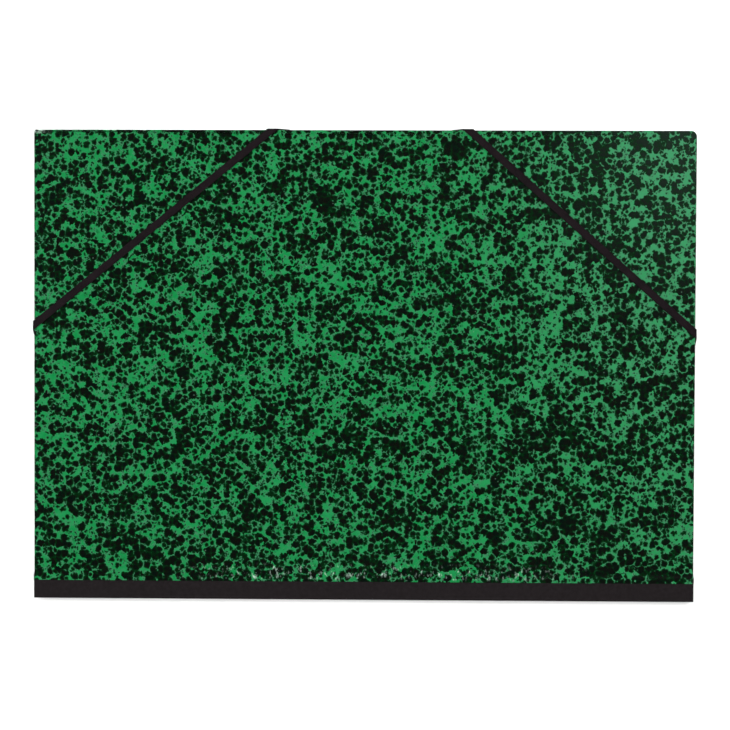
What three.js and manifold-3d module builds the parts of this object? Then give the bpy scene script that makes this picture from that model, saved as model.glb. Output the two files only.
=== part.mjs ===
import * as THREE from 'three';
import { mergeVertices } from 'three/addons/utils/BufferGeometryUtils.js';
import Module from 'manifold-3d';

// A drawing portfolio, closed, lying on its back cover. Millimetres.
// +X runs along the spine, +Y from the spine to the open edge, and +Z is up.
// Heights inside a cover are measured from the outer face of its marbled paper to its lining.

// Covers
const coverLength = 450;
const coverDepth = 320;
const boardThickness = 1.75;
const coversApart = 1.1;
const cornerRadius = 1;
const knockedCornerRadius = 3.8;

// Sheets and the glue between them
const paperThickness = 0.15;
const clothThickness = 0.35;
const stripThickness = 0.25;
const liningThickness = 0.15;
const glue = 0.05;

// Widths of the sheets
const paperTurnIn = 15;
const clothTurnIn = 15;
const clothShown = 12.5;
const paperOverCloth = 3;
const stripWidth = 24;
const stripEndPlay = 0.3;
const liningOverStrip = 4;
const liningMargin = 5;

// Room between the spine cloth and the spine edges of the boards, in which the joint folds
const jointPlay = 0.8;

// Elastics, and where the middle of each crosses the open edge and the side, from the corner
const bandWidth = 5;
const bandThickness = 0.9;
const leftBand = { alongOpenEdge: 162, alongSide: 133 };
const rightBand = { alongOpenEdge: 154, alongSide: 137 };
const bandBend = 3 * glue;
const slotInset = 12;
const slotPlay = 0.3;

// Metal bars crimped on the ends of the elastics
const barLength = 10;
const barWidth = 2.6;
const barThickness = 0.8;
const barPocketDepth = 0.45;
const barPlay = 0.15;

// Steps in a quarter turn of a corner and of a bend
const cornerSteps = 6;
const bendSteps = 4;
// How far a cutting solid runs past what it cuts
const past = 1;
// Corners are rounded to this, so that faces meant to be level are exactly so
const grid = 1e-4;

// Heights inside a cover
const boardOuter = paperThickness + glue;
const boardInner = boardOuter + boardThickness;
const turnInBase = boardInner + glue;
const paperInner = turnInBase + paperThickness;
const clothInner = turnInBase + clothThickness;
const stripInner = turnInBase + stripThickness;
const liningBase = stripInner + glue;
const coverThickness = liningBase + liningThickness;
const clothBase = boardOuter - glue;
const clothOuter = clothBase - clothThickness;
const overlapBase = clothOuter - glue;
const overlapOuter = overlapBase - paperThickness;

// Places across the covers, from the outer face of the spine
const boardSpineEdge = clothThickness + jointPlay;
const clothEdge = clothShown + paperOverCloth;
const paperStep = clothEdge + glue;

// Levels of the two covers' outer faces above what the portfolio lies on
const backFace = bandThickness + glue;
const frontFace = backFace + 2 * coverThickness + coversApart;
const back = (height) => backFace + height;
const front = (height) => frontFace - height;
const barBottom = back(coverThickness) + glue;

const wasm = await Module();
wasm.setup();

function toSolid(geometry) {
  const bare = geometry.clone();
  bare.deleteAttribute('normal');
  bare.deleteAttribute('uv');
  const merged = mergeVertices(bare, grid);
  const { array } = merged.attributes.position;
  return new wasm.Manifold(
    new wasm.Mesh({
      numProp: 3,
      vertProperties: Float32Array.from(array, (value) => Math.round(value / grid) * grid),
      triVerts: Uint32Array.from(merged.index.array),
    }),
  );
}

function toGeometry(solid) {
  const mesh = solid.getMesh();
  const geometry = new THREE.BufferGeometry();
  geometry.setAttribute('position', new THREE.BufferAttribute(mesh.vertProperties, 3));
  geometry.setIndex(new THREE.BufferAttribute(mesh.triVerts, 1));
  const faceted = geometry.toNonIndexed();
  faceted.computeVertexNormals();
  return faceted;
}

function cut(solid, tools) {
  return tools.reduce((rest, tool) => rest.subtract(tool), solid);
}

// An upright prism of a plane shape, between two heights of one cover
function slab(shape, cover, low, high) {
  const bottom = Math.min(cover(low), cover(high));
  const depth = Math.abs(high - low);
  const geometry = new THREE.ExtrudeGeometry(shape, {
    depth,
    bevelEnabled: false,
    curveSegments: cornerSteps,
  });
  return toSolid(geometry.translate(0, 0, bottom));
}

// A block between two corners
function block(low, high) {
  const size = high.map((value, axis) => value - low[axis]);
  const middle = high.map((value, axis) => (value + low[axis]) / 2);
  return toSolid(new THREE.BoxGeometry(...size).translate(...middle));
}

// A block between two heights of one cover
function coverBlock(cover, [x0, x1], [y0, y1], [low, high]) {
  const levels = [cover(low), cover(high)].sort((a, b) => a - b);
  return block([x0, y0, levels[0]], [x1, y1, levels[1]]);
}

// The outline of a cover, its faces moved in by `inset`, from `spineEdge` to the open edge
function coverOutline(inset, spineEdge) {
  const leftX = inset;
  const rightX = coverLength - inset;
  const topY = coverDepth - inset;
  const leftRadius = Math.max(cornerRadius - inset, glue);
  const rightRadius = Math.max(knockedCornerRadius - inset, glue);
  const shape = new THREE.Shape();
  shape.moveTo(leftX, spineEdge);
  shape.lineTo(rightX, spineEdge);
  shape.lineTo(rightX, topY - rightRadius);
  shape.absarc(rightX - rightRadius, topY - rightRadius, rightRadius, 0, Math.PI / 2);
  shape.lineTo(leftX + leftRadius, topY);
  shape.absarc(leftX + leftRadius, topY - leftRadius, leftRadius, Math.PI / 2, Math.PI);
  shape.closePath();
  return shape;
}

function rectangle(x0, x1, y0, y1) {
  const shape = new THREE.Shape();
  shape.moveTo(x0, y0);
  shape.lineTo(x1, y0);
  shape.lineTo(x1, y1);
  shape.lineTo(x0, y1);
  shape.closePath();
  return shape;
}

// Elastics

// One end of an elastic, from the corner's diagonal over an edge of the covers to its slot.
// `along` runs from the corner along that edge and `across` runs in from it.
function bandEnd(cornerX, inwardX, overOpenEdge, crossing, otherCrossing) {
  const place = (along, across) => {
    const [fromSide, fromOpenEdge] = overOpenEdge ? [along, across] : [across, along];
    return new THREE.Vector2(cornerX + inwardX * fromSide, coverDepth - fromOpenEdge);
  };
  const origin = place(0, 0);
  const turned = (along, across) => place(along, across).sub(origin);
  const drift = crossing / otherCrossing;
  const length = Math.hypot(crossing, otherCrossing);
  const run = turned(crossing / length, otherCrossing / length);
  const side = turned(otherCrossing / length, -crossing / length);
  const halfOnEdge = ((bandWidth / 2) * length) / otherCrossing;
  const topZ = frontFace + glue;
  const bottomZ = backFace - glue;
  const bendAcross = bandBend - glue;
  const midBend = bandBend + bandThickness / 2;
  const wallHeight = topZ - bottomZ - 2 * bandBend;

  const stations = [];
  const addOnEdge = (turn, centreZ, unrolled) => {
    const outward = turned(0, -Math.sin(turn));
    const middle = place(
      crossing + drift * unrolled,
      bendAcross - bandBend * Math.sin(turn),
    );
    stations.push({
      middle: new THREE.Vector3(middle.x, middle.y, centreZ + bandBend * Math.cos(turn)),
      half: new THREE.Vector3(...turned(halfOnEdge, 0), 0),
      outward: new THREE.Vector3(outward.x, outward.y, Math.cos(turn)),
    });
  };
  for (let step = 0; step <= bendSteps; step += 1) {
    const turn = (step / bendSteps) * (Math.PI / 2);
    addOnEdge(turn, topZ - bandBend, midBend * turn - bendAcross);
  }
  for (let step = 0; step <= bendSteps; step += 1) {
    const turn = (1 + step / bendSteps) * (Math.PI / 2);
    addOnEdge(turn, bottomZ + bandBend, midBend * turn + wallHeight - bendAcross);
  }

  const unrolledAtUnderside = midBend * Math.PI + wallHeight - bendAcross;
  const slotAlong = crossing + drift * (unrolledAtUnderside + slotInset - bendAcross);
  const slot = place(slotAlong, slotInset);
  const bendCentre = slot.clone().addScaledVector(run, -midBend);
  const addInSlot = (turn, lift) => {
    const forward = Math.sin(turn);
    const down = Math.cos(turn);
    const middle = bendCentre.clone().addScaledVector(run, bandBend * forward);
    stations.push({
      middle: new THREE.Vector3(middle.x, middle.y, bottomZ + bandBend * (1 - down) + lift),
      half: new THREE.Vector3(side.x, side.y, 0).multiplyScalar(bandWidth / 2),
      outward: new THREE.Vector3(run.x * forward, run.y * forward, -down),
    });
  };
  for (let step = 0; step <= bendSteps; step += 1) {
    addInSlot((step / bendSteps) * (Math.PI / 2), 0);
  }
  const endZ = barBottom + barPocketDepth - barPlay;
  addInSlot(Math.PI / 2, endZ - bottomZ - bandBend);
  return { stations, slot, angle: Math.atan2(side.y, side.x) };
}

function bandEnds(cornerX, inwardX, band) {
  const { alongOpenEdge, alongSide } = band;
  return [
    bandEnd(cornerX, inwardX, true, alongOpenEdge, alongSide),
    bandEnd(cornerX, inwardX, false, alongSide, alongOpenEdge),
  ];
}

// A closed strip through stations that each give its section
function bandGeometry(ends) {
  const stations = [...ends[0].stations].reverse().concat(ends[1].stations);
  const positions = [];
  for (const { middle, half, outward } of stations) {
    const near = middle.clone().sub(half);
    const far = middle.clone().add(half);
    const section = [
      near,
      far,
      far.clone().addScaledVector(outward, bandThickness),
      near.clone().addScaledVector(outward, bandThickness),
    ];
    section.forEach((point) => positions.push(...point));
  }
  const index = [];
  for (let station = 0; station < stations.length - 1; station += 1) {
    for (let corner = 0; corner < 4; corner += 1) {
      const a = 4 * station + corner;
      const b = 4 * station + ((corner + 1) % 4);
      index.push(a, b, b + 4, a, b + 4, a + 4);
    }
  }
  const last = 4 * (stations.length - 1);
  index.push(0, 2, 1, 0, 3, 2, last, last + 1, last + 2, last, last + 2, last + 3);
  const geometry = new THREE.BufferGeometry();
  geometry.setAttribute('position', new THREE.Float32BufferAttribute(positions, 3));
  geometry.setIndex(index);
  return facingOut(geometry);
}

// Turns the faces round where they face in
function facingOut(geometry) {
  const { position } = geometry.attributes;
  const index = [...geometry.index.array];
  const corners = [0, 1, 2].map(() => new THREE.Vector3());
  let volume = 0;
  for (let face = 0; face < index.length; face += 3) {
    corners.forEach((corner, n) => corner.fromBufferAttribute(position, index[face + n]));
    volume += corners[0].dot(corners[1].cross(corners[2]));
  }
  if (volume < 0) {
    index.reverse();
  }
  geometry.setIndex(index);
  const faceted = geometry.toNonIndexed();
  faceted.computeVertexNormals();
  return faceted;
}

// A prism through the whole back cover for each place where an elastic passes it
function slotCutter({ slot, angle }) {
  const bottom = back(overlapOuter) - past;
  const height = barBottom + past - bottom;
  const geometry = new THREE.BoxGeometry(
    bandWidth + 2 * slotPlay,
    bandThickness + 2 * slotPlay,
    height,
  );
  geometry.rotateZ(angle);
  return toSolid(geometry.translate(slot.x, slot.y, bottom + height / 2));
}

function endBar({ slot, angle }) {
  const round = barWidth / 2;
  const reach = barLength / 2 - round;
  const shape = new THREE.Shape();
  shape.absarc(reach, 0, round, -Math.PI / 2, Math.PI / 2);
  shape.absarc(-reach, 0, round, Math.PI / 2, 1.5 * Math.PI);
  const body = new THREE.ExtrudeGeometry(shape, {
    depth: barThickness,
    bevelEnabled: false,
    curveSegments: cornerSteps,
  });
  const pocketHeight = barPocketDepth + past;
  const pocket = new THREE.BoxGeometry(
    bandWidth + 2 * barPlay,
    bandThickness + 2 * barPlay,
    pocketHeight,
  );
  pocket.translate(0, 0, barPocketDepth - pocketHeight / 2);
  const bar = toGeometry(toSolid(body).subtract(toSolid(pocket)));
  bar.rotateZ(angle);
  return bar.translate(slot.x, slot.y, barBottom);
}

// Covers

const board = (cover) => slab(coverOutline(boardOuter, boardSpineEdge), cover, boardOuter, boardInner);

// Paper over the outer face and three edges, turned in, and stepped up over the cloth's edge
function coverPaper(cover) {
  const field = slab(coverOutline(0, paperStep), cover, 0, paperInner);
  const overlap = coverBlock(
    cover,
    [overlapOuter, coverLength - overlapOuter],
    [clothShown, paperStep + paperThickness],
    [overlapOuter, paperInner],
  );
  const boardRoom = slab(
    coverOutline(paperThickness, paperStep - past),
    cover,
    paperThickness,
    turnInBase,
  );
  const clothRoom = coverBlock(
    cover,
    [overlapBase, coverLength - overlapBase],
    [clothShown - past, paperStep],
    [overlapBase, paperInner + past],
  );
  const window = slab(
    rectangle(paperTurnIn, coverLength - paperTurnIn, paperStep - past, coverDepth - paperTurnIn),
    cover,
    boardInner,
    paperInner + past,
  );
  return cut(field.add(overlap), [boardRoom, clothRoom, window]);
}

function lining(cover) {
  return coverBlock(
    cover,
    [liningMargin, coverLength - liningMargin],
    [stripWidth - liningOverStrip, coverDepth - liningMargin],
    [liningBase, coverThickness],
  );
}

// Spine

// A prism along the spine, from the outline of its section across the covers
function alongSpine([x0, x1], section, hole) {
  const outline = (points) => points.map(([y, z]) => new THREE.Vector2(y, z));
  const shape = new THREE.Shape(outline(section));
  if (hole) {
    shape.holes.push(new THREE.Path(outline(hole)));
  }
  const geometry = new THREE.ExtrudeGeometry(shape, { depth: x1 - x0, bevelEnabled: false });
  const axes = new THREE.Matrix4().makeBasis(
    new THREE.Vector3(0, 1, 0),
    new THREE.Vector3(0, 0, 1),
    new THREE.Vector3(1, 0, 0),
  );
  return toSolid(geometry.applyMatrix4(axes).translate(x0, 0, 0));
}

// Cloth round the spine, over both covers' spine edges, turned in at head and tail
function spineCloth() {
  const foldedWall = 2 * clothThickness + glue;
  const outside = alongSpine(
    [clothOuter, coverLength - clothOuter],
    [
      [0, back(clothOuter)],
      [clothEdge, back(clothOuter)],
      [clothEdge, back(clothInner)],
      [foldedWall, back(clothInner)],
      [foldedWall, front(clothInner)],
      [clothEdge, front(clothInner)],
      [clothEdge, front(clothOuter)],
      [0, front(clothOuter)],
    ],
  );
  const insideTurnIns = alongSpine(
    [clothBase, coverLength - clothBase],
    [
      [clothThickness, back(clothBase)],
      [clothEdge + past, back(clothBase)],
      [clothEdge + past, back(turnInBase)],
      [boardSpineEdge, back(turnInBase)],
      [boardSpineEdge, front(turnInBase)],
      [clothEdge + past, front(turnInBase)],
      [clothEdge + past, front(clothBase)],
      [clothThickness, front(clothBase)],
    ],
    [
      [clothThickness + glue, back(clothBase + glue)],
      [foldedWall, back(clothBase + glue)],
      [foldedWall, front(clothBase + glue)],
      [clothThickness + glue, front(clothBase + glue)],
    ],
  );
  const betweenTurnIns = block(
    [clothTurnIn, clothThickness, back(clothBase)],
    [coverLength - clothTurnIn, clothEdge + past, front(clothBase)],
  );
  return cut(outside, [insideTurnIns, betweenTurnIns]);
}

// The strip lies in the joint: along one cover, down its board's edge, up the wall and back
function innerStrip() {
  const ends = [clothTurnIn + stripEndPlay, coverLength - clothTurnIn - stripEndPlay];
  const wallSide = clothThickness + glue;
  const boardSide = boardSpineEdge - glue;
  const base = clothBase + glue;
  const glued = (cover) => [
    [stripWidth, cover(turnInBase)],
    [boardSide, cover(turnInBase)],
    [boardSide, cover(base)],
    [wallSide, cover(base)],
  ];
  const shown = (cover) => [
    [stripWidth, cover(stripInner)],
    [boardSide - stripThickness, cover(stripInner)],
    [boardSide - stripThickness, cover(base + stripThickness)],
    [wallSide + stripThickness, cover(base + stripThickness)],
  ];
  const section = [
    ...glued(back),
    ...glued(front).reverse(),
    ...shown(front),
    ...shown(back).reverse(),
  ];
  return alongSpine(ends, section);
}

// Materials

function material(color, roughness, metalness = 0) {
  return new THREE.MeshStandardMaterial({ color, roughness, metalness });
}

const marbledPaper = () => material('#1f5233', 0.5);
const greyBoard = () => material('#8b8375', 0.95);
const liningPaper = () => material('#c9c1ae', 0.9);
const bookCloth = () => material('#252122', 0.8);
const elasticWeave = () => material('#2a2125', 0.85);
const crimpedSteel = () => material('#b9bbbd', 0.35, 1);

function piece(name, geometry, look) {
  const mesh = new THREE.Mesh(geometry, look);
  mesh.name = name;
  return mesh;
}

// Assembly

const leftEnds = bandEnds(0, 1, leftBand);
const rightEnds = bandEnds(coverLength, -1, rightBand);
const slots = [...leftEnds, ...rightEnds].map(slotCutter);

const backCover = new THREE.Group();
backCover.add(
  piece('back_board', toGeometry(cut(board(back), slots)), greyBoard()),
  piece('back_cover_paper', toGeometry(cut(coverPaper(back), slots)), marbledPaper()),
  piece('back_lining', toGeometry(cut(lining(back), slots)), liningPaper()),
);

const frontCover = new THREE.Group();
frontCover.add(
  piece('front_board', toGeometry(board(front)), greyBoard()),
  piece('front_cover_paper', toGeometry(coverPaper(front)), marbledPaper()),
  piece('front_lining', toGeometry(lining(front)), liningPaper()),
);

const spine = new THREE.Group();
spine.add(
  piece('spine_cloth', toGeometry(spineCloth()), bookCloth()),
  piece('spine_inner_strip', toGeometry(innerStrip()), bookCloth()),
);

const elastics = new THREE.Group();
elastics.add(
  piece('elastic_left', bandGeometry(leftEnds), elasticWeave()),
  piece('elastic_right', bandGeometry(rightEnds), elasticWeave()),
  piece('elastic_bar_left_top', endBar(leftEnds[0]), crimpedSteel()),
  piece('elastic_bar_left_side', endBar(leftEnds[1]), crimpedSteel()),
  piece('elastic_bar_right_top', endBar(rightEnds[0]), crimpedSteel()),
  piece('elastic_bar_right_side', endBar(rightEnds[1]), crimpedSteel()),
);

// The origin is under the middle of the whole portfolio, elastics included
const portfolio = new THREE.Group();
portfolio.add(backCover, frontCover, spine, elastics);
portfolio.position.set(-coverLength / 2, -(coverDepth + glue + bandThickness) / 2, 0);

export default portfolio;
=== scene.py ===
import math

import bmesh
import bpy
import numpy as np
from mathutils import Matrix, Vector


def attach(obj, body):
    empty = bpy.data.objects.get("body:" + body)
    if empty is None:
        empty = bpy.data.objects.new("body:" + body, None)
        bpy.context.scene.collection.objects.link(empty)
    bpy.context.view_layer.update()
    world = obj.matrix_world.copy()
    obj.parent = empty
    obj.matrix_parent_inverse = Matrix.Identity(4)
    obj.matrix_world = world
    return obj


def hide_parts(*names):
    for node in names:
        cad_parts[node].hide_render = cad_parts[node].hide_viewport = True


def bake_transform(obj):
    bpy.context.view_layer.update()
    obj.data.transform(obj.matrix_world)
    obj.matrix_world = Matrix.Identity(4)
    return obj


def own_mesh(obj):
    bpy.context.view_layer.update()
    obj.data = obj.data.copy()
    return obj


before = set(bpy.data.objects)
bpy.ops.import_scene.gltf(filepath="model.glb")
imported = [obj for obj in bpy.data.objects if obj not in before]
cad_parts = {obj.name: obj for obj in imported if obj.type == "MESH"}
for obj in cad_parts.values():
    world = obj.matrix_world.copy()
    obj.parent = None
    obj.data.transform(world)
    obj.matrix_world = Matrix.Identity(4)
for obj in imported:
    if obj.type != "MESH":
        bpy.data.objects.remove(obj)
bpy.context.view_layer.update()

# Sizes in millimetres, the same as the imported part's. A cover's own heights are measured
# from its outer face inwards, and x and y from its lower left corner.
MM = 0.001
LENGTH = 450.0
DEPTH = 320.0
SHIFT_X = -LENGTH / 2
SHIFT_Y = -160.475
BACK_FACE = 0.95
FRONT_FACE = 6.95
MIDDLE = (BACK_FACE + FRONT_FACE) / 2
GLUE = 0.05
BOARD_EDGE = 1.15

# Marbled paper
CORNER = 1.0
KNOCKED_CORNER = 3.8
PAPER = 0.15
PAPER_INNER = 2.15
PAPER_EDGE = 12.5
PAPER_OVER_CLOTH = 3.0
PAPER_STEP = PAPER_EDGE + PAPER_OVER_CLOTH + GLUE
PAPER_TURN_IN = 15.0
FACE_INSETS = (1.4, 0.8)
OUTER_BEND = 0.45
INNER_BEND = 0.35
# How far the paper stands up over the cloth's edge: distance past the step, and lift
STEP_LIFTS = (
    (-PAPER_OVER_CLOTH - GLUE, 0.40),
    (-1.55, 0.40),
    (-GLUE, 0.40),
    (0.5, 0.36),
    (1.2, 0.25),
    (2.1, 0.11),
    (3.0, 0.03),
    (4.0, 0.0),
)

# Book cloth and the strip inside the joint
CLOTH = 0.35
CLOTH_OUTER = -0.20
CLOTH_INNER = 2.35
CLOTH_EDGE = PAPER_EDGE + PAPER_OVER_CLOTH
CLOTH_TURN_IN = 15.0
CLOTH_BEND = 0.7
CLOTH_PAST_END = 0.2
WRAP_BEND = 0.45
FOLD_BEND = 0.2
FOLD_REACH = 0.75
STRIP = 0.25
STRIP_BASE = 0.20
STRIP_INNER = 2.25
STRIP_UNDER = STRIP_INNER - STRIP
STRIP_EDGE = 24.0
STRIP_INSET = 15.3

# Elastics: where each crosses the open edge and the side, measured from its corner
LEFT_BAND = (162.0, 133.0)
RIGHT_BAND = (154.0, 137.0)
BAND_WIDTH = 5.0
BAND = 0.9
BAND_BEND = 0.15
BAND_GAP = 0.05
BAND_END = 3.75
BAND_STEP = 6.0
RIBS = 9
RIB_DEPTH = 0.07
SLOT_INSET = 12.0
SLOT = (5.6, 1.5)
BAR = (10.0, 2.6, 0.8)
BAR_BASE = 3.45
PINCH_AT = 1.9
PINCH_WIDTH = 0.42
PINCH_DEPTH = 0.24
PINCH_NARROWS = 0.07
POCKET = (5.3, 1.2, 0.45)

# Where the paper is rubbed, from the middle of the closed cover
HALF_LENGTH = LENGTH / 2
OPEN_EDGE = 159.5

# How bright a white surface is under the studio light, and the lamps in metres and watts
LIGHT = 1.8
LAMP_SIZE = 1.1
LAMP_POWER = 34.0
FLOOR_REACH = 4000.0


def back(height):
    """Height above the floor of a place in the back cover."""
    return BACK_FACE + height


def front(height):
    """Height above the floor of a place in the front cover."""
    return FRONT_FACE - height


COVERS = ((back, "back_cover", "back"), (front, "front_cover", "front"))
ENDS = ((True, "left"), (False, "right"))


# Meshes


def make_mesh(name, points, faces, smooth=True):
    """A mesh object from points in millimetres, measured from the covers' corner."""
    mesh = bpy.data.meshes.new(name)
    moved = [((x + SHIFT_X) * MM, (y + SHIFT_Y) * MM, z * MM) for x, y, z in points]
    mesh.from_pydata(moved, [], faces)
    mesh.validate()
    mesh.update()
    made = bpy.data.objects.new(name, mesh)
    bpy.context.scene.collection.objects.link(made)
    if smooth:
        mesh.shade_smooth()
    return made


def outward(made):
    """Turns a closed mesh's faces out."""
    mesh = made.data
    co = np.array([v.co for v in mesh.vertices])
    volume = 0.0
    for face in mesh.polygons:
        ids = list(face.vertices)
        for a, b in zip(ids[1:], ids[2:]):
            volume += float(np.dot(co[ids[0]], np.cross(co[a], co[b])))
    if volume < 0:
        mesh.flip_normals()
    return made


def harden(made, degrees):
    """Smooth shading, apart from edges sharper than this."""
    mesh = made.data
    mesh.shade_smooth()
    mesh.set_sharp_from_angle(angle=math.radians(degrees))
    return made


def apply_modifiers(made):
    """Makes the mesh that the modifiers give into the piece's own."""
    graph = bpy.context.evaluated_depsgraph_get()
    mesh = bpy.data.meshes.new_from_object(made.evaluated_get(graph))
    made.modifiers.clear()
    made.data = mesh
    return made


def arc(centre, radius, start, end, steps):
    """Points of an arc in a plane, with angles in degrees."""
    found = []
    for step in range(steps + 1):
        turn = math.radians(start + (end - start) * step / steps)
        x, y = centre[0] + radius * math.cos(turn), centre[1] + radius * math.sin(turn)
        found.append((x, y))
    return found


def loft(rings):
    """Points and faces of a closed body through sections with equal counts of points."""
    count = len(rings[0])
    points = [p for ring in rings for p in ring]
    faces = []
    for n in range(len(rings) - 1):
        for k in range(count):
            a = n * count + k
            b = n * count + (k + 1) % count
            faces.append((a, b, b + count, a + count))
    faces.append(tuple(range(count))[::-1])
    last = (len(rings) - 1) * count
    faces.append(tuple(range(last, last + count)))
    return points, faces


def normals_along(line):
    """Each point's unit normal, to the left of the way the line runs."""
    tangent = np.gradient(line, axis=0)
    tangent /= np.linalg.norm(tangent, axis=1)[:, None]
    return np.stack([-tangent[:, 1], tangent[:, 0]], 1)


def thickened(line, half):
    """The closed outline of a strip along a line, so much to each side of it."""
    line = np.array(line)
    offset = half * normals_along(line)
    return [*(line + offset), *(line - offset)[::-1]]


# Marbled paper: the face, a rounded edge, the side, a second rounded edge and the turn-in


def outline_stations():
    """Places along the three papered edges: point, outward direction, lift over the cloth."""
    found = []

    def add(x, y, direction, lift):
        found.append(((x, y), direction, lift))

    lifts = [(PAPER_STEP + past, lift) for past, lift in STEP_LIFTS]
    sides = np.linspace(20, DEPTH - KNOCKED_CORNER - 3, 24)
    for y, lift in lifts:
        add(0.0, y, (-1.0, 0.0), lift)
    for y in sides:
        add(0.0, float(y), (-1.0, 0.0), 0.0)
    for x, y in arc((CORNER, DEPTH - CORNER), CORNER, 180, 90, 6):
        turn = (x - CORNER) / CORNER, (y - DEPTH + CORNER) / CORNER
        add(x, y, turn, 0.0)
    for x in np.linspace(30, LENGTH - 30, 27):
        add(float(x), DEPTH, (0.0, 1.0), 0.0)
    r = KNOCKED_CORNER
    for x, y in arc((LENGTH - r, DEPTH - r), r, 90, 0, 10):
        turn = (x - LENGTH + r) / r, (y - DEPTH + r) / r
        add(x, y, turn, 0.0)
    for y in sides[::-1]:
        add(LENGTH, float(y), (1.0, 0.0), 0.0)
    for y, lift in lifts[::-1]:
        add(LENGTH, y, (1.0, 0.0), lift)
    return found


def edge_profile():
    """Distance in from the edge and height, from the face round to the turn-in's edge."""
    far, near = FACE_INSETS
    side_middle = (0.0, 1.1)
    first = arc((OUTER_BEND, OUTER_BEND), OUTER_BEND, -90, -180, 4)
    second = arc((INNER_BEND, PAPER_INNER - INNER_BEND), INNER_BEND, 180, 90, 4)
    turn_in = [(far, PAPER_INNER), (PAPER_TURN_IN, PAPER_INNER)]
    return [(far, 0.0), (near, 0.0), *first, side_middle, *second, *turn_in]


def mitred(point, direction, inward):
    """The place on the paper at a distance in, kept square at the turn-in's corners."""
    in_corner = abs(direction[0] * direction[1]) > 1e-6
    at_turn_in_edge = inward > PAPER_TURN_IN / 3
    if in_corner and not at_turn_in_edge:
        inward = min(inward, 0.8 * CORNER)
    x, y = point[0] - direction[0] * inward, point[1] - direction[1] * inward
    if at_turn_in_edge and point[1] > DEPTH - PAPER_TURN_IN:
        x = min(max(x, PAPER_TURN_IN), LENGTH - PAPER_TURN_IN)
        y = DEPTH - PAPER_TURN_IN
    return x, y


def marbled_cover(name, level):
    """A cover's paper: its face, its wrapped edges, and the turn-ins behind the cloth's end."""
    stations = outline_stations()
    profile = edge_profile()
    count = len(profile)
    points = []
    for point, direction, lift in stations:
        for inward, height in profile:
            raised = lift if height <= OUTER_BEND else 0.0
            out = lift if inward < FACE_INSETS[1] else 0.0
            x, y = mitred(point, direction, inward - out)
            points.append((x, y, level(height - raised)))
    faces = []
    for n in range(len(stations) - 1):
        lower = min(stations[n][0][1], stations[n + 1][0][1])
        # Over the cloth, the paper ends on the side, without the second bend and the turn-in
        strips = count - 6 if lower < PAPER_STEP - 2 * GLUE else count - 1
        for k in range(strips):
            a = n * count + k
            faces.append((a, a + 1, a + 1 + count, a + count))
    # The face: strips from side to side, and what is left at the open edge
    total = len(stations)
    low_side = next(n for n in range(total) if stations[n][1][0] > -0.999)
    for n in range(low_side - 1):
        m = total - 1 - n
        faces.append((n * count, (n + 1) * count, (m - 1) * count, m * count))
    faces.append(tuple(n * count for n in range(low_side - 1, total - low_side + 1)))
    made = make_mesh(name, points, faces)
    thick = made.modifiers.new("thickness", "SOLIDIFY")
    thick.thickness = PAPER * MM
    thick.offset = -1.0
    return made


def face_each_out(made):
    """Turns every closed body of a mesh out."""
    bm = bmesh.new()
    bm.from_mesh(made.data)
    bmesh.ops.recalc_face_normals(bm, faces=bm.faces)
    bm.to_mesh(made.data)
    bm.free()
    made.data.update()


def face_out(made, level):
    """Joins doubled points, drops loose ones, and turns the paper's outer side out."""
    bm = bmesh.new()
    bm.from_mesh(made.data)
    bmesh.ops.remove_doubles(bm, verts=bm.verts, dist=1e-6)
    loose = [vert for vert in bm.verts if not vert.link_faces]
    bmesh.ops.delete(bm, geom=loose, context="VERTS")
    bmesh.ops.recalc_face_normals(bm, faces=bm.faces)
    big = max(bm.faces, key=lambda face: face.calc_area())
    away = 1.0 if level(0.0) > level(1.0) else -1.0
    if big.normal.z * away < 0:
        bmesh.ops.reverse_faces(bm, faces=bm.faces)
    bm.to_mesh(made.data)
    bm.free()
    made.data.update()


def beside(end, along, across, height):
    """A point measured from an elastic's slot, along the slot and across it."""
    cos, sin = math.cos(end["angle"]), math.sin(end["angle"])
    x, y = end["slot"]
    return x + cos * along - sin * across, y + sin * along + cos * across, height


def cutter_for(ends, size, low, high):
    """One closed box at each end of an elastic, between two heights."""
    across, deep = size[0] / 2, size[1] / 2
    points, faces = [], []
    for end in ends:
        corners = ((-across, -deep), (across, -deep), (across, deep), (-across, deep))
        box = [[beside(end, u, v, z) for u, v in corners] for z in (low, high)]
        more, shape = loft(box)
        faces += [tuple(len(points) + i for i in face) for face in shape]
        points += more
    return make_mesh("cutter", points, faces, smooth=False)


def cut(made, cutter):
    """Takes the cutter's boxes out of a piece."""
    holes = made.modifiers.new("holes", "BOOLEAN")
    holes.operation = "DIFFERENCE"
    holes.object = cutter
    holes.solver = "EXACT"
    apply_modifiers(made)
    bpy.data.objects.remove(cutter)


# Elastics


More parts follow.
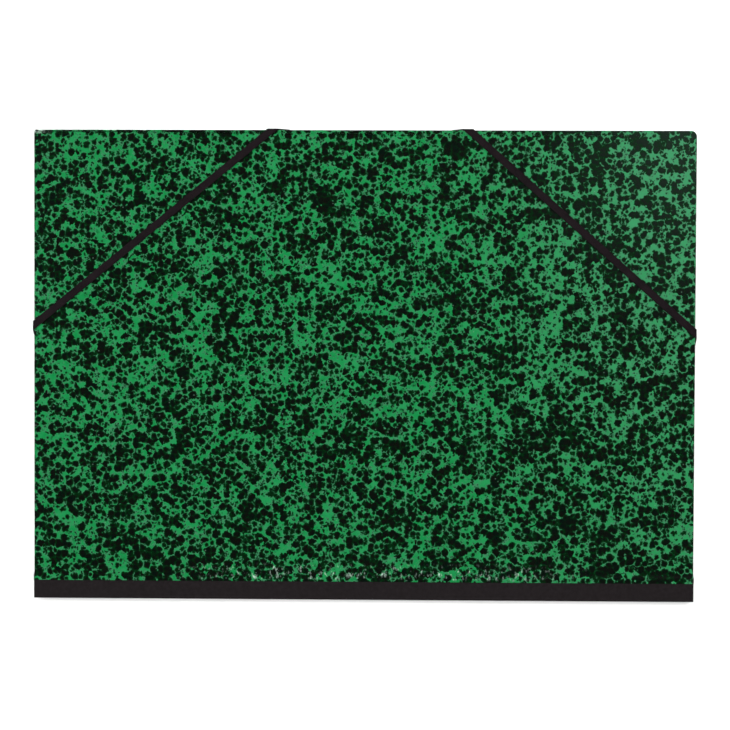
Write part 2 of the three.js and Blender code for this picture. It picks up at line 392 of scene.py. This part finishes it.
def band_end(corner_x, inward_x, over_open_edge, crossing, other):
    """Sections from a corner's diagonal over one edge to the slot in the back cover.

    Along the edge is counted from the corner, and across from the edge inwards.
    """

    def place(along, across):
        side, edge = (along, across) if over_open_edge else (across, along)
        return np.array([corner_x + inward_x * side, DEPTH - edge])

    origin = place(0.0, 0.0)

    def turned(along, across):
        return place(along, across) - origin

    drift = crossing / other
    length = math.hypot(crossing, other)
    run = turned(crossing / length, other / length)
    side = turned(other / length, -crossing / length)
    half_on_edge = BAND_WIDTH / 2 * length / other
    top = FRONT_FACE + BAND_GAP
    bottom = BACK_FACE - BAND_GAP
    bend_across = BAND_BEND - BAND_GAP
    mid_bend = BAND_BEND + BAND / 2
    wall = top - bottom - 2 * BAND_BEND
    quarter = math.pi / 2
    turns = [quarter * step / 6 for step in range(7)]
    found = []

    def on_edge(turn, centre_z, unrolled):
        out = turned(0.0, -math.sin(turn))
        middle = place(crossing + drift * unrolled, bend_across - BAND_BEND * math.sin(turn))
        centre = np.array([*middle, centre_z + BAND_BEND * math.cos(turn)])
        half = np.array([*turned(half_on_edge, 0.0), 0.0])
        found.append((centre, half, np.array([*out, math.cos(turn)])))

    for turn in turns:
        on_edge(turn, top - BAND_BEND, mid_bend * turn - bend_across)
    for turn in turns:
        past = quarter + turn
        on_edge(past, bottom + BAND_BEND, mid_bend * past + wall - bend_across)
    under = mid_bend * math.pi + wall - bend_across
    slot_along = crossing + drift * (under + SLOT_INSET - bend_across)
    slot = place(slot_along, SLOT_INSET)
    bend_centre = slot - run * mid_bend

    def in_slot(turn, lift):
        forward, down = math.sin(turn), math.cos(turn)
        middle = bend_centre + run * BAND_BEND * forward
        centre = np.array([*middle, bottom + BAND_BEND * (1 - down) + lift])
        half = np.array([*side, 0.0]) * (BAND_WIDTH / 2)
        found.append((centre, half, np.array([*(run * forward), -down])))

    for turn in turns:
        in_slot(turn, 0.0)
    in_slot(quarter, BAND_END - bottom - BAND_BEND)
    return {"stations": found, "slot": slot, "angle": math.atan2(side[1], side[0])}


def band_section():
    """A ribbon's outline with soft edges and lengthwise ribs: -1 to 1 across, 0 to 1 out."""
    steps = RIBS * 4
    edge = 0.06
    top = []
    for step in range(steps + 1):
        across = -1 + edge + (2 - 2 * edge) * step / steps
        ripple = 0.5 + 0.5 * math.cos(2 * math.pi * RIBS * step / steps)
        top.append((across, 1.0 - RIB_DEPTH * ripple))
    right = [(0.985, 0.78), (1.0, 0.5), (0.985, 0.22)]
    bottom = [(across, 1.0 - out) for across, out in reversed(top)]
    left = [(-across, out) for across, out in reversed(right)]
    return top + right + bottom + left


def elastic(name, ends):
    """One elastic, from the slot at its one end over the corner to the slot at its other."""
    section = band_section()
    stations = ends[0]["stations"][::-1] + ends[1]["stations"]
    dense = []
    for first, second in zip(stations, stations[1:]):
        gap = np.linalg.norm(second[0] - first[0])
        parts = max(1, int(gap / BAND_STEP))
        for part in range(parts):
            t = part / parts
            dense.append(tuple(a * (1 - t) + b * t for a, b in zip(first, second)))
    dense.append(stations[-1])
    rings = []
    for middle, half, out in dense:
        rings.append([middle + half * across + out * BAND * rise for across, rise in section])
    points, faces = loft(rings)
    return harden(outward(make_mesh(name, points, faces)), 60)


def end_bar(name, end):
    """A bar with round ends, pinched across in two places to grip the elastic in its pocket."""
    round_end = BAR[1] / 2
    straight = BAR[0] / 2 - round_end
    soft = 0.2
    tips = [straight + round_end * math.sin(turn) for turn in np.linspace(0, math.radians(84), 9)]
    places = sorted({*[-u for u in tips], *np.linspace(-straight, straight, 45), *tips})
    rings = []
    for u in places:
        past = max(abs(u) - straight, 0.0) / round_end
        pinch = math.exp(-(((abs(u) - PINCH_AT) / PINCH_WIDTH) ** 2))
        half = round_end * math.sqrt(1 - past * past) - PINCH_NARROWS * pinch
        high = BAR[2] - PINCH_DEPTH * pinch
        r = min(soft, half * 0.8)
        edge = 0.6 * r
        section = arc((half - r, high - r), r, 0, 90, 4)
        section += arc((r - half, high - r), r, 90, 180, 4)
        section += [(-half, edge), (edge - half, 0.0), (half - edge, 0.0), (half, edge)]
        rings.append([beside(end, u, v, BAR_BASE + z) for v, z in section])
    points, faces = loft(rings)
    made = outward(make_mesh(name, points, faces))
    cut(made, cutter_for([end], POCKET, BAR_BASE - 1.0, BAR_BASE + POCKET[2]))
    return harden(made, 40)


# Book cloth


def bent_cloth(name, line):
    """Cloth along the spine, bent along a centreline in y and z, with round ends."""
    half = CLOTH / 2
    x0, x1 = -CLOTH_PAST_END, LENGTH + CLOTH_PAST_END
    xs = np.linspace(x0 + half, x1 - half, 46)[1:]
    turns = np.linspace(0, math.pi, 7)
    left = [(x0 + half - half * math.sin(t), half * math.cos(t)) for t in turns]
    right = [(x1 - half + half * math.sin(t), -half * math.cos(t)) for t in turns]
    outline = [(x, half) for x in xs[::-1]] + left
    outline += [(x, -half) for x in xs[:-1]] + right[:-1]
    line = np.array(line)
    rings = []
    for (y, z), (out_y, out_z) in zip(line, normals_along(line)):
        rings.append([(x, y + out_y * d, z + out_z * d) for x, d in outline])
    points, faces = loft(rings)
    return harden(outward(make_mesh(name, points, faces)), 50)


def spine_line(cover):
    """The cloth's centreline, from its edge under the paper to the middle of the spine."""
    radius = CLOTH_BEND - CLOTH / 2
    outer = cover(CLOTH_OUTER)
    inside = 1.0 if cover(1.0) > cover(0.0) else -1.0
    level = outer + inside * CLOTH / 2
    found = [(y, level) for y in (CLOTH_EDGE, 13.0, 9.0, 6.0, 4.0, 2.5, 1.6, 1.0)]
    for y, z in arc((CLOTH_BEND, 0.0), radius, -90, -180, 8):
        found.append((y, level + inside * (z + radius)))
    bend_end = outer + inside * CLOTH_BEND
    for share in (0.35, 0.7, 1.0):
        found.append((CLOTH / 2, bend_end + (MIDDLE - bend_end) * share))
    return found


def from_end(across, at_head):
    """x at a distance in from the head's end or from the tail's."""
    return across if at_head else LENGTH - across


def head_wrap(name, cover, at_head):
    """Cloth from a cover's outer face round the board's end and in under the lining.

    The small steps of 0.01 to 0.06 mm keep faces that would touch apart.
    """
    half = CLOTH / 2
    outer, inner = CLOTH_OUTER + half + 0.01, CLOTH_INNER - half
    bend = half - CLOTH_PAST_END + WRAP_BEND
    line = [(CLOTH_TURN_IN, inner), (8.0, inner), (2.0, inner)]
    line += arc((bend, inner - WRAP_BEND), WRAP_BEND, 90, 180, 6)
    line += arc((bend, outer + WRAP_BEND), WRAP_BEND, 180, 270, 6)
    line.append((0.9, outer))
    section = thickened(line, half)
    start = BOARD_EDGE - 0.03
    rings = []
    for y in (start, 2.5, 5.0, 9.0, CLOTH_EDGE - GLUE):
        rings.append([(from_end(across, at_head), y, cover(height)) for across, height in section])
    points, faces = loft(rings)
    # The same cloth, down the board's spine edge
    rings = []
    for y, inset in ((0.80, 0.06), (0.86, 0.0), (start, 0.0)):
        x0, x1 = inset - 0.15, CLOTH_TURN_IN + 0.2 - inset
        low, high = 0.2 + inset, CLOTH_INNER - inset
        corners = ((x0, low), (x1, low), (x1, high), (x0, high))
        rings.append([(from_end(across, at_head), y, cover(height)) for across, height in corners])
    more, shape = loft(rings)
    faces += [tuple(len(points) + i for i in face) for face in shape]
    points += more
    made = make_mesh(name, points, faces)
    face_each_out(made)
    return harden(made, 50)


def wall_fold(name, at_head):
    """The doubled cloth inside the spine wall at one end, joined to the wall by a fold."""
    middle = CLOTH + 0.025
    line = [(CLOTH_TURN_IN, middle + FOLD_BEND), (8.0, middle + FOLD_BEND)]
    line += arc((middle - FOLD_BEND, middle), FOLD_BEND, 90, 270, 8)
    line.append((0.9, middle - FOLD_BEND))
    section = thickened(line, CLOTH / 2 - 0.01)
    rings = []
    for z in (back(FOLD_REACH), back(1.6), MIDDLE, front(1.6), front(FOLD_REACH)):
        rings.append([(from_end(across, at_head), y, z) for across, y in section])
    points, faces = loft(rings)
    return harden(outward(make_mesh(name, points, faces)), 50)


def strip_bar(name, section):
    """A closed body of one YZ section along the inner strip's length."""
    xs = np.linspace(STRIP_INSET, LENGTH - STRIP_INSET, 30)
    rings = [[(x, y, z) for y, z in section] for x in xs]
    points, faces = loft(rings)
    return harden(outward(make_mesh(name, points, faces)), 40)


# Materials


class Graph:
    """A small builder for one material's nodes."""

    def __init__(self, name):
        self.material = bpy.data.materials.new(name)
        self.material.use_nodes = True
        self.tree = self.material.node_tree
        self.tree.nodes.clear()
        self.output = self.node("ShaderNodeOutputMaterial")
        self.shader = self.node("ShaderNodeBsdfPrincipled")
        self.tree.links.new(self.shader.outputs[0], self.output.inputs[0])

    def node(self, kind, **settings):
        """A new node with these settings."""
        made = self.tree.nodes.new(kind)
        for key, value in settings.items():
            setattr(made, key, value)
        return made

    def put(self, socket, value):
        """Links an output to a socket, or sets the socket's own value."""
        if hasattr(value, "is_output"):
            self.tree.links.new(value, socket)
        else:
            socket.default_value = value

    def place(self):
        """Places on the piece in millimetres."""
        coordinates = self.node("ShaderNodeTexCoord")
        return self.vector("SCALE", coordinates.outputs["Object"], scale=1 / MM)

    def parts(self, vector):
        """A vector's x, y and z."""
        made = self.node("ShaderNodeSeparateXYZ")
        self.put(made.inputs[0], vector)
        return made.outputs[:3]

    def vector(self, operation, a, b=None, scale=None):
        made = self.node("ShaderNodeVectorMath", operation=operation)
        self.put(made.inputs[0], a)
        if b is not None:
            self.put(made.inputs[1], b)
        if scale is not None:
            self.put(made.inputs["Scale"], scale)
        return made.outputs[0]

    def math(self, operation, a, b=0.0, c=0.0):
        made = self.node("ShaderNodeMath", operation=operation)
        for socket, item in zip(made.inputs, (a, b, c)):
            self.put(socket, item)
        return made.outputs[0]

    def product(self, first, *others):
        for other in others:
            first = self.math("MULTIPLY", first, other)
        return first

    def blend(self, a, share, b):
        """One share of a and the rest of b."""
        return self.math("ADD", self.product(a, share), self.product(b, 1.0 - share))

    def noise(self, place, size, detail=2.0, roughness=0.5, colour=False, seed=0.0):
        """Noise with features of this size in millimetres, as a number or as a colour."""
        made = self.node("ShaderNodeTexNoise", noise_dimensions="4D")
        self.put(made.inputs["Vector"], place)
        self.put(made.inputs["W"], seed)
        self.put(made.inputs["Scale"], 1.0 / size)
        self.put(made.inputs["Detail"], detail)
        self.put(made.inputs["Roughness"], roughness)
        return made.outputs["Color" if colour else "Fac"]

    def cells(self, place, size, feature="F1"):
        """Cells of this size: the distance to a middle or an edge in millimetres, and the node."""
        made = self.node("ShaderNodeTexVoronoi", voronoi_dimensions="3D", feature=feature)
        self.put(made.inputs["Vector"], place)
        self.put(made.inputs["Scale"], 1.0 / size)
        return self.product(made.outputs["Distance"], size), made

    def chance(self, cells):
        """Each cell's own random number."""
        made = self.node("ShaderNodeSeparateColor")
        self.put(made.inputs[0], cells.outputs["Color"])
        return made.outputs[0]

    def range(self, value, low, high, out_low=0.0, out_high=1.0, smooth=False):
        """Maps low to high onto out_low to out_high, and holds what lies beyond."""
        made = self.node("ShaderNodeMapRange", clamp=True)
        made.interpolation_type = "SMOOTHSTEP" if smooth else "LINEAR"
        for socket, item in zip(made.inputs[:5], (value, low, high, out_low, out_high)):
            self.put(socket, item)
        return made.outputs[0]

    def mix(self, factor, a, b):
        made = self.node("ShaderNodeMix", data_type="RGBA")
        self.put(made.inputs[0], factor)
        self.put(made.inputs[6], a)
        self.put(made.inputs[7], b)
        return made.outputs[2]

    def bump(self, height, strength, distance):
        made = self.node("ShaderNodeBump")
        self.put(made.inputs["Height"], height)
        self.put(made.inputs["Strength"], strength)
        self.put(made.inputs["Distance"], distance * MM)
        return made.outputs[0]

    def finish(self, colour, roughness, normal=None, metallic=0.0, specular=0.5):
        """Gives the shader its values and returns the material."""
        self.put(self.shader.inputs["Base Color"], colour)
        self.put(self.shader.inputs["Roughness"], roughness)
        self.put(self.shader.inputs["Metallic"], metallic)
        self.put(self.shader.inputs["Specular IOR Level"], specular)
        if normal is not None:
            self.put(self.shader.inputs["Normal"], normal)
        return self.material


def seen(red, green, blue):
    """The colour that shows as this 8-bit one under the studio light."""
    found = []
    for value in (red, green, blue):
        value /= 255.0
        linear = value / 12.92 if value <= 0.04045 else ((value + 0.055) / 1.055) ** 2.4
        found.append(linear / LIGHT)
    return (*found, 1.0)


def marbled_paper():
    """Round black blots of many sizes on green, packed until thin green veins part them.

    Numbers are millimetres from the middle of the closed cover, sizes in millimetres, or
    shares. Seeds keep the layers of noise apart.
    """
    g = Graph("marbled_paper")
    place = g.place()
    half = (0.5, 0.5, 0.5)
    coarse = g.noise(place, 5.0, 1.0, colour=True, seed=1.3)
    fine = g.noise(place, 1.4, 1.0, 0.5, colour=True, seed=4.1)
    swing = g.vector("SCALE", g.vector("SUBTRACT", coarse, half), scale=3.0)
    ragged = g.vector("SCALE", g.vector("SUBTRACT", fine, half), scale=2.0)
    bent = g.vector("ADD", g.vector("ADD", place, swing), ragged)
    along, across, _ = g.parts(place)
    crowd = g.range(g.noise(place, 19.0, 2.0, seed=8.0), 0.30, 0.70, -0.34, 0.31)
    crowd = g.math("ADD", crowd, g.range(along, 80.0, 190.0, 0.0, 0.05))
    crowd = g.math("ADD", crowd, g.range(across, -40.0, -110.0, 0.0, 0.08))

    # Large blots, parted by veins where the colour ran less
    blot = 4.15
    to_middle, large = g.cells(bent, blot)
    odds = g.math("ADD", g.chance(large), crowd)
    radius = g.range(odds, 0.0, 0.8, 1.12, 3.35)
    from_large = g.math("SUBTRACT", to_middle, radius)
    to_edge, _ = g.cells(bent, blot, feature="DISTANCE_TO_EDGE")
    vein = g.range(g.noise(place, 5.0, 1.0, seed=17.0), 0.42, 0.66, -1.0, 0.2)
    blots = g.math("MAXIMUM", from_large, g.math("SUBTRACT", vein, to_edge))

    # Small ones in the green between
    to_dot, small = g.cells(bent, 2.4)
    small_radius = g.range(g.chance(small), -0.3, 1.0, -0.08, 1.24)
    shape = g.math("MINIMUM", blots, g.math("SUBTRACT", to_dot, small_radius))

    # Black, with a painted sheen towards the top right, and green, paler towards the right with a
    # painted sheen
    tint = g.noise(place, 3.0, 2.0, colour=True, seed=23.0)
    black = g.mix(g.range(tint, 0.35, 0.65), seen(12, 13, 8), seen(2, 17, 10))
    top = g.range(across, 30.0, 150.0, 0.0, 0.85)
    # Painted sheen: the black turns paler and greener towards the top right
    black = g.mix(g.product(g.range(along, 100.0, 215.0), top), black, seen(22, 41, 30))
    patch = g.range(g.noise(place, 9.0, 2.0, seed=31.0), 0.35, 0.65)
    green = g.mix(patch, seen(18, 139, 69), seen(38, 150, 85))
    # Painted sheen: the green and the veins next to the blots turn paler towards the right
    right = g.range(along, 40.0, 215.0, smooth=True)
    painted_sheen = g.product(right, g.range(across, -120.0, 150.0, 0.3, 1.0))
    green = g.mix(g.product(painted_sheen, 0.55), green, seen(80, 160, 118))
    inked = g.mix(g.range(shape, -1.2, -0.3, smooth=True), black, seen(0, 42, 12))
    thin = g.range(to_edge, 0.25, 0.7, 1.0, 0.0, smooth=True)
    rim = g.mix(thin, seen(30, 126, 68), seen(68, 138, 98))
    # The veins' colour turns paler with the painted sheen too
    edged = g.mix(g.range(shape, -0.24, 0.17), inked, g.mix(painted_sheen, rim, seen(72, 138, 100)))
    colour = g.mix(g.range(shape, 0.17, 0.55, smooth=True), edged, green)

    # Pale specks, and a band of painted glints where the paper rides over the cloth's edge
    to_speck, _ = g.cells(place, 6.5)
    colour = g.mix(g.range(to_speck, 0.28, 0.5, 0.5, 0.0), colour, seen(120, 158, 134))
    # Painted glints: pale flecks along the ridge that the cloth's edge makes under the paper
    band_low = g.range(across, -147.6, -144.9, smooth=True)
    band_high = g.range(across, -140.2, -134.8, 1.0, 0.0, smooth=True)
    band_left = g.range(along, -140.0, -70.0, smooth=True)
    band_right = g.range(along, 90.0, 165.0, 1.0, 0.0, smooth=True)
    upright = g.vector("MULTIPLY", place, (1.0, 0.62, 1.0))
    flecks = g.range(g.noise(upright, 2.3, 2.5, 0.6, seed=44.0), 0.57, 0.69)
    on_veins = g.math("MULTIPLY_ADD", g.range(shape, -0.2, 0.1), 0.6, 0.4)
    wear_and_glints = g.product(flecks, band_low, band_high, band_left, band_right, on_veins)

    # The left corner at the open edge, rubbed white, and light wear along all three edges
    corner_side = g.range(along, -224.0, -212.0, 1.0, 0.0, smooth=True)
    corner_edge = g.range(across, 156.0, 159.3, smooth=True)
    streaks = g.range(g.noise(place, 1.9, 3.0, 0.6, seed=61.0), 0.42, 0.56)
    wear_and_glints = g.math("MAXIMUM", wear_and_glints, g.product(corner_side, corner_edge, streaks))
    to_side = g.math("SUBTRACT", HALF_LENGTH, g.math("ABSOLUTE", along))
    to_rim = g.math("MINIMUM", to_side, g.math("SUBTRACT", OPEN_EDGE, across))
    near_rim = g.range(to_rim, 0.0, 1.1, 1.0, 0.0, smooth=True)
    rubs = g.range(g.noise(place, 2.2, 4.0, 0.65, seed=67.0), 0.58, 0.68, 0.0, 0.6)
    wear_and_glints = g.math("MAXIMUM", wear_and_glints, g.product(near_rim, rubs))
    # The rubbed corner and edges, which are real wear, and the painted glints, in one pale colour
    colour = g.mix(wear_and_glints, colour, seen(206, 232, 216))

    grain = g.noise(place, 0.35, 3.0, 0.6, seed=51.0)
    gloss = g.range(grain, 0.3, 0.7, 0.25, 0.33)
    hollows = g.product(g.range(shape, -0.3, 0.3), 0.25)
    relief = g.math("MULTIPLY_ADD", grain, 0.4, hollows)
    return g.finish(colour, gloss, g.bump(relief, 0.2, 0.03), specular=0.06)


def book_cloth():
    """Fine plain-weave cloth, filled and dyed black."""
    g = Graph("book_cloth")
    place = g.place()
    x, y, z = g.parts(place)
    turns_per_mm = 2 * math.pi / 0.42
    warp = g.math("SINE", g.product(x, turns_per_mm))
    weft = g.math("SINE", g.product(g.math("ADD", y, z), turns_per_mm))
    weave = g.math("MULTIPLY_ADD", g.product(warp, weft), 0.5, 0.5)
    slub = g.noise(place, 2.5, 4.0, 0.6, seed=3.0)
    tone = g.blend(weave, 0.25, slub)
    colour = g.mix(g.range(tone, 0.3, 0.7), seen(20, 15, 16), seen(36, 31, 33))
    height = g.math("ADD", weave, g.product(slub, 0.5))
    return g.finish(colour, 0.72, g.bump(height, 0.35, 0.06), specular=0.07)


def woven_elastic():
    """Matt black elastic with fine fibres. Its ribs are in the mesh."""
    g = Graph("woven_elastic")
    place = g.place()
    fibres = g.noise(place, 0.5, 3.0, 0.6, seed=5.0)
    slow = g.noise(place, 6.0, 1.0, seed=9.0)
    tone = g.blend(fibres, 0.7, slow)
    colour = g.mix(g.range(tone, 0.35, 0.65), seen(12, 6, 9), seen(33, 24, 28))
    return g.finish(colour, 0.85, g.bump(fibres, 0.4, 0.08), specular=0.08)


def grey_board():
    """Grey board with flecks of waste paper in it."""
    g = Graph("greyboard")
    place = g.place()
    fleck = g.noise(place, 0.8, 4.0, 0.7, seed=2.0)
    colour = g.mix(g.range(fleck, 0.35, 0.65), seen(116, 110, 98), seen(152, 146, 132))
    return g.finish(colour, 0.95, g.bump(fleck, 0.4, 0.05))


def lining_paper():
    """Plain uncoated paper with a faint fibre pattern."""
    g = Graph("lining_paper")
    place = g.place()
    cloud = g.noise(place, 30.0, 3.0, seed=6.0)
    fibre = g.noise(place, 0.6, 4.0, 0.65, seed=7.0)
    tone = g.blend(cloud, 0.22, fibre)
    colour = g.mix(g.range(tone, 0.38, 0.62), seen(196, 187, 166), seen(214, 206, 187))
    return g.finish(colour, 0.9, g.bump(fibre, 0.3, 0.04))


def bright_steel():
    """Bright steel with fine streaks and small scratches."""
    g = Graph("crimped_steel")
    place = g.place()
    streak = g.noise(place, 1.2, 3.0, 0.6, seed=12.0)
    scratch = g.noise(g.vector("MULTIPLY", place, (1.0, 6.0, 1.0)), 0.7, 3.0, 0.7, seed=15.0)
    colour = g.mix(streak, seen(150, 152, 154), seen(196, 198, 200))
    gloss = g.range(scratch, 0.3, 0.7, 0.26, 0.46)
    return g.finish(colour, gloss, g.bump(scratch, 0.3, 0.02), metallic=1.0)


def floor_paper():
    """Pale paper, lit from within far from the portfolio, so that it ends in white."""
    g = Graph("studio_floor")
    place = g.place()
    cloud = g.noise(place, 180.0, 2.0, seed=1.0)
    colour = g.mix(cloud, (0.90, 0.90, 0.90, 1.0), (0.93, 0.93, 0.93, 1.0))
    away = g.node("ShaderNodeVectorMath", operation="LENGTH")
    g.put(away.inputs[0], place)
    glow = g.range(away.outputs["Value"], 900.0, 2300.0, 0.0, 1.05, smooth=True)
    g.put(g.shader.inputs["Emission Color"], (1.0, 1.0, 1.0, 1.0))
    g.put(g.shader.inputs["Emission Strength"], glow)
    return g.finish(colour, 0.95, specular=0.0)


def dress(made, material):
    """Gives a piece its material."""
    made.data.materials.clear()
    made.data.materials.append(material)
    return made


marbled = marbled_paper()
cloth = book_cloth()
weave = woven_elastic()
board = grey_board()
inside_paper = lining_paper()
steel = bright_steel()

left_ends = [
    band_end(0.0, 1.0, True, *LEFT_BAND),
    band_end(0.0, 1.0, False, *LEFT_BAND[::-1]),
]
right_ends = [
    band_end(LENGTH, -1.0, True, *RIGHT_BAND),
    band_end(LENGTH, -1.0, False, *RIGHT_BAND[::-1]),
]

# Covers
front_paper = marbled_cover("front_marbled_paper", front)
face_out(front_paper, front)
apply_modifiers(front_paper)
harden(front_paper, 50)
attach(dress(front_paper, marbled), "front_cover")
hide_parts("front_cover_paper")

back_paper = marbled_cover("back_marbled_paper", back)
face_out(back_paper, back)
cut(back_paper, cutter_for(left_ends + right_ends, SLOT, -1.0, 5.0))
harden(back_paper, 50)
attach(dress(back_paper, marbled), "back_cover")
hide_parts("back_cover_paper")

for name in ("back_board", "front_board"):
    dress(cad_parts[name], board)
for name in ("back_lining", "front_lining"):
    dress(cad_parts[name], inside_paper)

# Elastics and their end bars
elastics = [elastic("left_elastic", left_ends), elastic("right_elastic", right_ends)]
for made, node in zip(elastics, ("elastic_left", "elastic_right")):
    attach(dress(made, weave), "back_cover")
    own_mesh(made)
    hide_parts(node)
for side, ends in (("left", left_ends), ("right", right_ends)):
    for end, edge in zip(ends, ("top", "side")):
        made = end_bar(f"{side}_{edge}_end_bar", end)
        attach(dress(made, steel), "back_cover")
        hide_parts(f"elastic_bar_{side}_{edge}")

# Spine cloth
for name, cover, low_body, high_body, up in (
    ("spine_cloth_back", back, "back_cover", "spine", 1.0),
    ("spine_cloth_front", front, "spine", "front_cover", -1.0),
):
    made = dress(bent_cloth(name, spine_line(cover)), cloth)
    outer = cover(CLOTH_OUTER)
    if up > 0:
        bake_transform(made)
    else:
        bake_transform(made)
    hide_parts("spine_cloth")

for cover, body, word in COVERS:
    for at_head, end in ENDS:
        made = head_wrap(f"cloth_turn_in_{word}_{end}", cover, at_head)
        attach(dress(made, cloth), body)
        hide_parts("spine_cloth")
for at_head, end in ENDS:
    made = wall_fold(f"cloth_fold_{end}", at_head)
    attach(dress(made, cloth), "spine")
    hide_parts("spine_cloth")

# Inner strip: a leg on each board and down its edge, and the gutter on the spine wall
glued = BOARD_EDGE - GLUE
free = glued - STRIP
for cover, body, word in COVERS:
    leg = [
        (STRIP_EDGE, cover(STRIP_UNDER)),
        (STRIP_EDGE, cover(STRIP_INNER)),
        (free + 0.12, cover(STRIP_INNER)),
        (free + 0.03, cover(STRIP_INNER - 0.04)),
        (free, cover(STRIP_INNER - 0.13)),
        (free, cover(STRIP_BASE)),
        (glued, cover(STRIP_BASE)),
        (glued, cover(STRIP_UNDER)),
    ]
    made = strip_bar(f"inner_strip_{word}", leg)
    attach(dress(made, cloth), body)
    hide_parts("spine_inner_strip")
wall = CLOTH + GLUE
gutter = [
    (wall, back(STRIP_BASE)),
    (wall + STRIP, back(STRIP_BASE)),
    (wall + STRIP, front(STRIP_BASE)),
    (wall, front(STRIP_BASE)),
]
made = strip_bar("inner_strip_gutter", gutter)
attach(dress(made, cloth), "spine")
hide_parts("spine_inner_strip")

# Stage, light and camera
floor_x = (-FLOOR_REACH - SHIFT_X, FLOOR_REACH - SHIFT_X)
floor_y = (-FLOOR_REACH - SHIFT_Y, FLOOR_REACH - SHIFT_Y)
floor_corners = [
    (floor_x[0], floor_y[0], 0.0),
    (floor_x[1], floor_y[0], 0.0),
    (floor_x[1], floor_y[1], 0.0),
    (floor_x[0], floor_y[1], 0.0),
]
floor = make_mesh("studio_floor", floor_corners, [(0, 1, 2, 3)], smooth=False)
floor.data.materials.append(floor_paper())

# White at the horizon and dimmer overhead, where the lamps are
world = bpy.data.worlds.new("studio")
bpy.context.scene.world = world
world.use_nodes = True
sky = world.node_tree
sky_light = sky.nodes["Background"]
sky_light.inputs["Color"].default_value = (1.0, 1.0, 1.0, 1.0)
direction = sky.nodes.new("ShaderNodeTexCoord")
parts = sky.nodes.new("ShaderNodeSeparateXYZ")
fade = sky.nodes.new("ShaderNodeValToRGB")
sky.links.new(direction.outputs["Generated"], parts.inputs[0])
sky.links.new(parts.outputs["Z"], fade.inputs[0])
levels = fade.color_ramp.elements
levels[0].position, levels[0].color = 0.0, (1.0, 1.0, 1.0, 1.0)
levels[1].position, levels[1].color = 0.5, (0.07, 0.07, 0.07, 1.0)
for rise, level in ((0.1, 0.55), (0.25, 0.22)):
    levels.new(rise).color = (level, level, level, 1.0)
sky.links.new(fade.outputs[0], sky_light.inputs["Strength"])


def area_light(name, place):
    """A round soft box that looks at the portfolio."""
    data = bpy.data.lights.new(name, "AREA")
    data.shape = "DISK"
    data.size = LAMP_SIZE
    data.energy = LAMP_POWER
    lamp = bpy.data.objects.new(name, data)
    bpy.context.scene.collection.objects.link(lamp)
    lamp.location = place
    lamp.rotation_mode = "QUATERNION"
    lamp.rotation_quaternion = (-Vector(place)).to_track_quat("-Z", "Y")


area_light("left_box", (-1.7, 0.3, 1.5))
area_light("right_box", (1.14, 0.76, 1.82))
area_light("front_box", (0.3, -1.7, 1.5))
area_light("rear_box", (-0.3, 1.7, 1.5))

# The photo's place and lens, worked out from where the four corners of the cover lie in it
lens = bpy.data.cameras.new("camera")
camera = bpy.data.objects.new("camera", lens)
bpy.context.scene.collection.objects.link(camera)
bpy.context.scene.camera = camera
lens.sensor_width = 36.0
lens.lens = 85.0
lens.clip_start, lens.clip_end = 0.05, 50.0
camera.location = (0.0212, 0.02845, 1.17987)
camera.rotation_euler = (-0.02412, 0.01736, 0.00407)

bpy.context.scene.view_settings.view_transform = "Standard"
bpy.context.scene.view_settings.look = "None"
